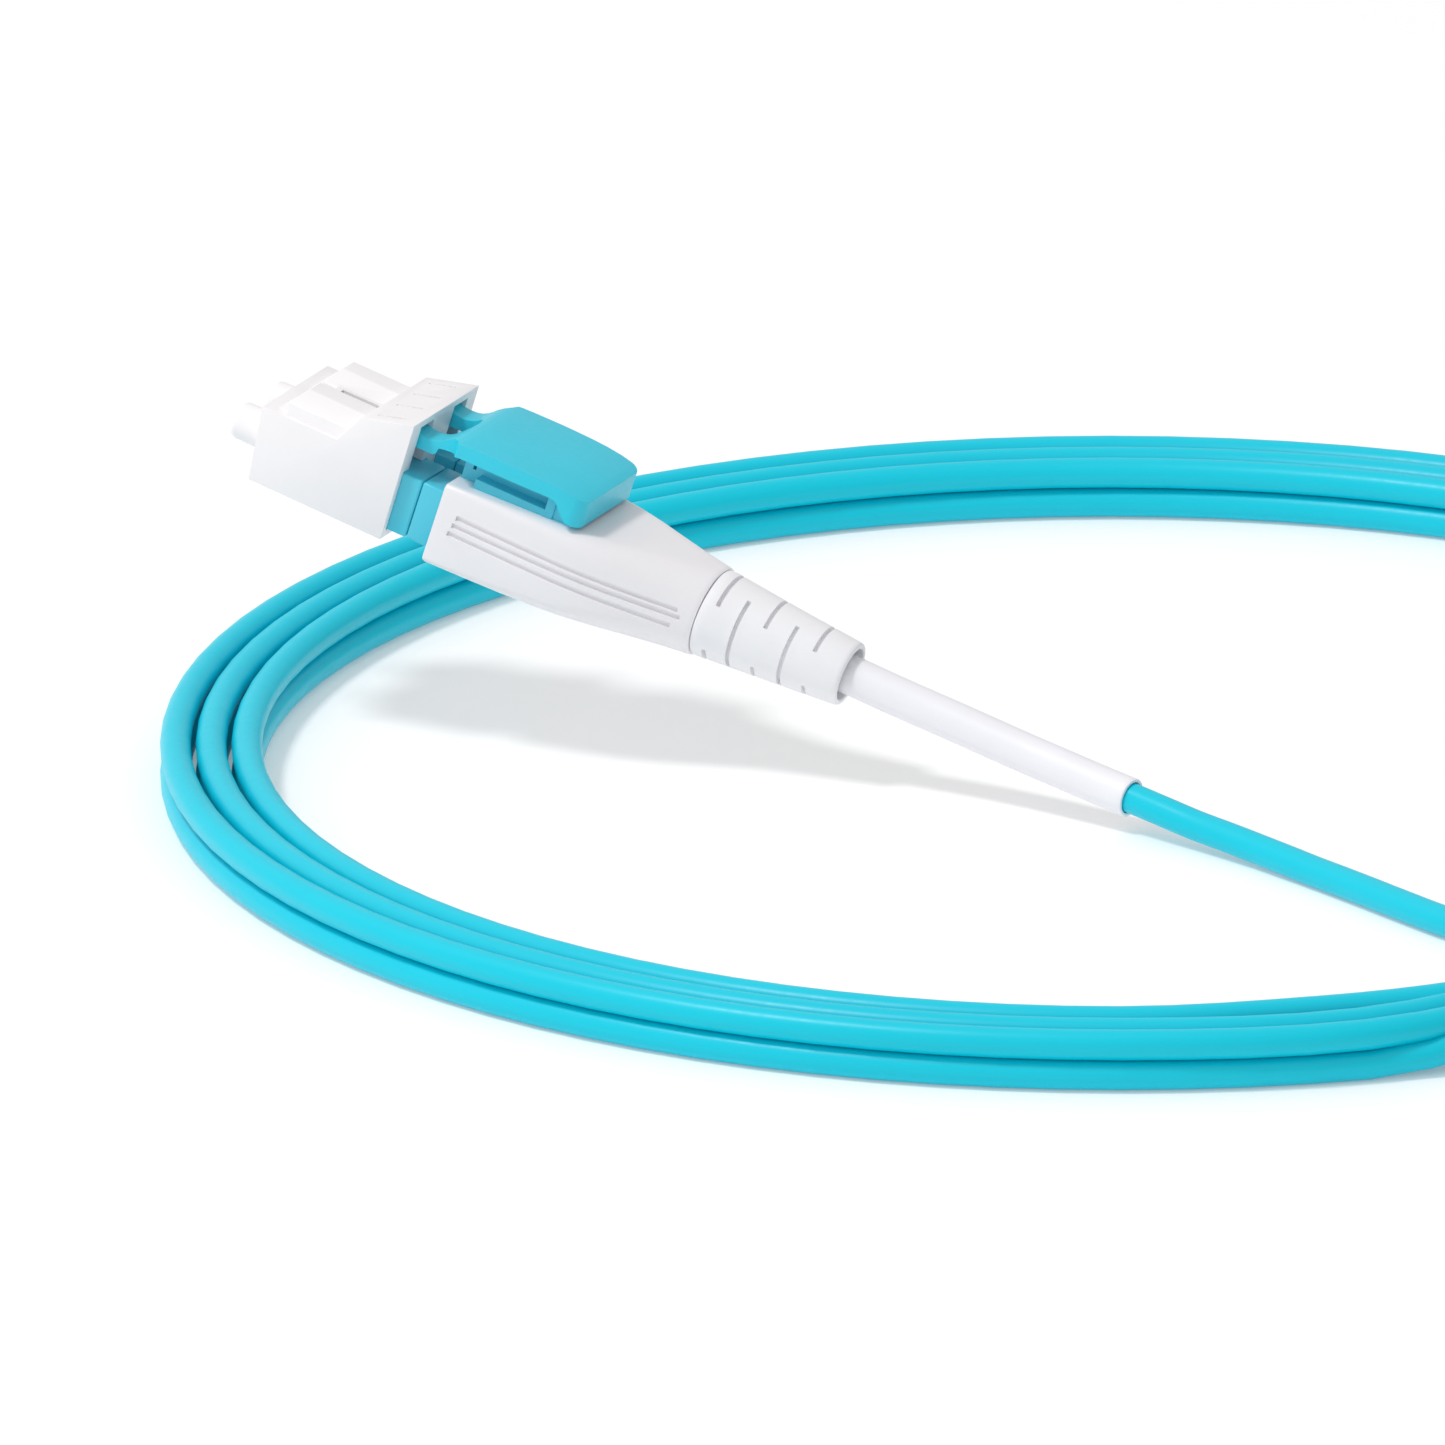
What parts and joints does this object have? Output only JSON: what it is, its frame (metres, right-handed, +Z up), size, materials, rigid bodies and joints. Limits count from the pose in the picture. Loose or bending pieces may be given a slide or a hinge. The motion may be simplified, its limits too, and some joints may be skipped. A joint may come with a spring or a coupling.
{
  "type": "fiber optic patch cord",
  "caption": "Coiled round fibre optic cable with a capped duplex LC plug on each end, one shared boot and a press trigger over the latches.",
  "frame": {"origin": "on the ground, under the middle of the box around the two plugs", "axes": "+Z up; +X runs to the right as the coil is seen from the front, with the near plug's nose to the left; +Y runs away from that viewer"},
  "size_m": [0.1498, 0.1622, 0.0253],
  "materials": {
    "white_plastic": "satin",
    "aqua_plastic": "satin",
    "aqua_jacket": "smooth matte",
    "white_rubber": "smooth matte",
    "steel": "satin",
    "zirconia": "polished ceramic",
    "aramid": "yarn",
    "fibre_buffer": "smooth"
  },
  "bodies": {
    "cord": {"coil": "aqua_jacket", "trigger_base_near": "aqua_plastic", "pivot_pin_near": "steel", "housing_lower_near": "white_plastic", "housing_upper_near": "white_plastic", "boot_near": "white_rubber", "crimp_post_near": "steel", "crimp_ring_near": "steel", "yarn_near": "aramid", "tail_tube_near": "white_rubber", "cable_near": "aqua_jacket", "plug_left_near": "aqua_plastic", "plug_right_near": "aqua_plastic", "spring_left_near": "steel", "spring_right_near": "steel", "rear_body_left_near": "aqua_plastic", "rear_body_right_near": "aqua_plastic", "fibre_left_near": "fibre_buffer", "fibre_right_near": "fibre_buffer", "trigger_base_far": "aqua_plastic", "pivot_pin_far": "steel", "housing_lower_far": "white_plastic", "housing_upper_far": "white_plastic", "boot_far": "white_rubber", "crimp_post_far": "steel", "crimp_ring_far": "steel", "yarn_far": "aramid", "tail_tube_far": "white_rubber", "cable_far": "aqua_jacket", "plug_left_far": "aqua_plastic", "plug_right_far": "aqua_plastic", "spring_left_far": "steel", "spring_right_far": "steel", "rear_body_left_far": "aqua_plastic", "rear_body_right_far": "aqua_plastic", "fibre_left_far": "fibre_buffer", "fibre_right_far": "fibre_buffer"},
    "dust_cap_near": {"dust_cap_near": "white_plastic"},
    "trigger_near": {"trigger_near": "aqua_plastic"},
    "latch_left_near": {"latch_left_near": "aqua_plastic"},
    "ferrule_left_near": {"ferrule_left_near": "zirconia", "flange_left_near": "steel"},
    "latch_right_near": {"latch_right_near": "aqua_plastic"},
    "ferrule_right_near": {"ferrule_right_near": "zirconia", "flange_right_near": "steel"},
    "dust_cap_far": {"dust_cap_far": "white_plastic"},
    "trigger_far": {"trigger_far": "aqua_plastic"},
    "latch_left_far": {"latch_left_far": "aqua_plastic"},
    "ferrule_left_far": {"ferrule_left_far": "zirconia", "flange_left_far": "steel"},
    "latch_right_far": {"latch_right_far": "aqua_plastic"},
    "ferrule_right_far": {"ferrule_right_far": "zirconia", "flange_right_far": "steel"}
  },
  "joints": [
    {"name": "dust_cap_pull_near", "type": "slide", "parent": "cord", "child": "dust_cap_near", "axis": [-0.8803, 0.3737, 0.2924], "range_m": [0, 0.014]},
    {"name": "trigger_press_near", "type": "hinge", "parent": "cord", "child": "trigger_near", "pos_m": [-0.04133, -0.03727, 0.019], "axis": [-0.3761, -0.9252, 0.05], "range_deg": [0, 3.2], "stiffness_Nm_per_rad": 0.02},
    {"name": "latch_flex_left_near", "type": "hinge", "parent": "cord", "child": "latch_left_near", "pos_m": [-0.0589, -0.02655, 0.02286], "axis": [0.3761, 0.9252, -0.05], "range_deg": [0, 5.5]},
    {"name": "ferrule_push_left_near", "type": "slide", "parent": "cord", "child": "ferrule_left_near", "axis": [0.8803, -0.3737, -0.2924], "range_m": [0, 0.0008], "stiffness_N_per_m": 1000, "deforming": ["spring_left_near", "fibre_left_near"]},
    {"name": "latch_flex_right_near", "type": "hinge", "parent": "cord", "child": "latch_right_near", "pos_m": [-0.06125, -0.03233, 0.02317], "axis": [0.3761, 0.9252, -0.05], "range_deg": [0, 5.5]},
    {"name": "ferrule_push_right_near", "type": "slide", "parent": "cord", "child": "ferrule_right_near", "axis": [0.8803, -0.3737, -0.2924], "range_m": [0, 0.0008], "stiffness_N_per_m": 1000, "deforming": ["spring_right_near", "fibre_right_near"]},
    {"name": "dust_cap_pull_far", "type": "slide", "parent": "cord", "child": "dust_cap_far", "axis": [-0.342, 0.9397, 0], "range_m": [0, 0.014]},
    {"name": "trigger_press_far", "type": "hinge", "parent": "cord", "child": "trigger_far", "pos_m": [0.05704, 0.022, 0.00765], "axis": [-0.9397, -0.342, 0], "range_deg": [0, 3.2], "stiffness_Nm_per_rad": 0.02},
    {"name": "latch_flex_left_far", "type": "hinge", "parent": "cord", "child": "latch_left_far", "pos_m": [0.05293, 0.04243, 0.00555], "axis": [0.9397, 0.342, 0], "range_deg": [0, 5.5]},
    {"name": "ferrule_push_left_far", "type": "slide", "parent": "cord", "child": "ferrule_left_far", "axis": [0.342, -0.9397, 0], "range_m": [0, 0.0008], "stiffness_N_per_m": 1000, "deforming": ["spring_left_far", "fibre_left_far"]},
    {"name": "latch_flex_right_far", "type": "hinge", "parent": "cord", "child": "latch_right_far", "pos_m": [0.04706, 0.04029, 0.00555], "axis": [0.9397, 0.342, 0], "range_deg": [0, 5.5]},
    {"name": "ferrule_push_right_far", "type": "slide", "parent": "cord", "child": "ferrule_right_far", "axis": [0.342, -0.9397, 0], "range_m": [0, 0.0008], "stiffness_N_per_m": 1000, "deforming": ["spring_right_far", "fibre_right_far"]}
  ],
  "couplings": [
    {"joint": "latch_flex_left_near", "follows": "trigger_press_near", "ratio": 1.69},
    {"joint": "latch_flex_right_near", "follows": "trigger_press_near", "ratio": 1.69},
    {"joint": "latch_flex_left_far", "follows": "trigger_press_far", "ratio": 1.69},
    {"joint": "latch_flex_right_far", "follows": "trigger_press_far", "ratio": 1.69}
  ]
}
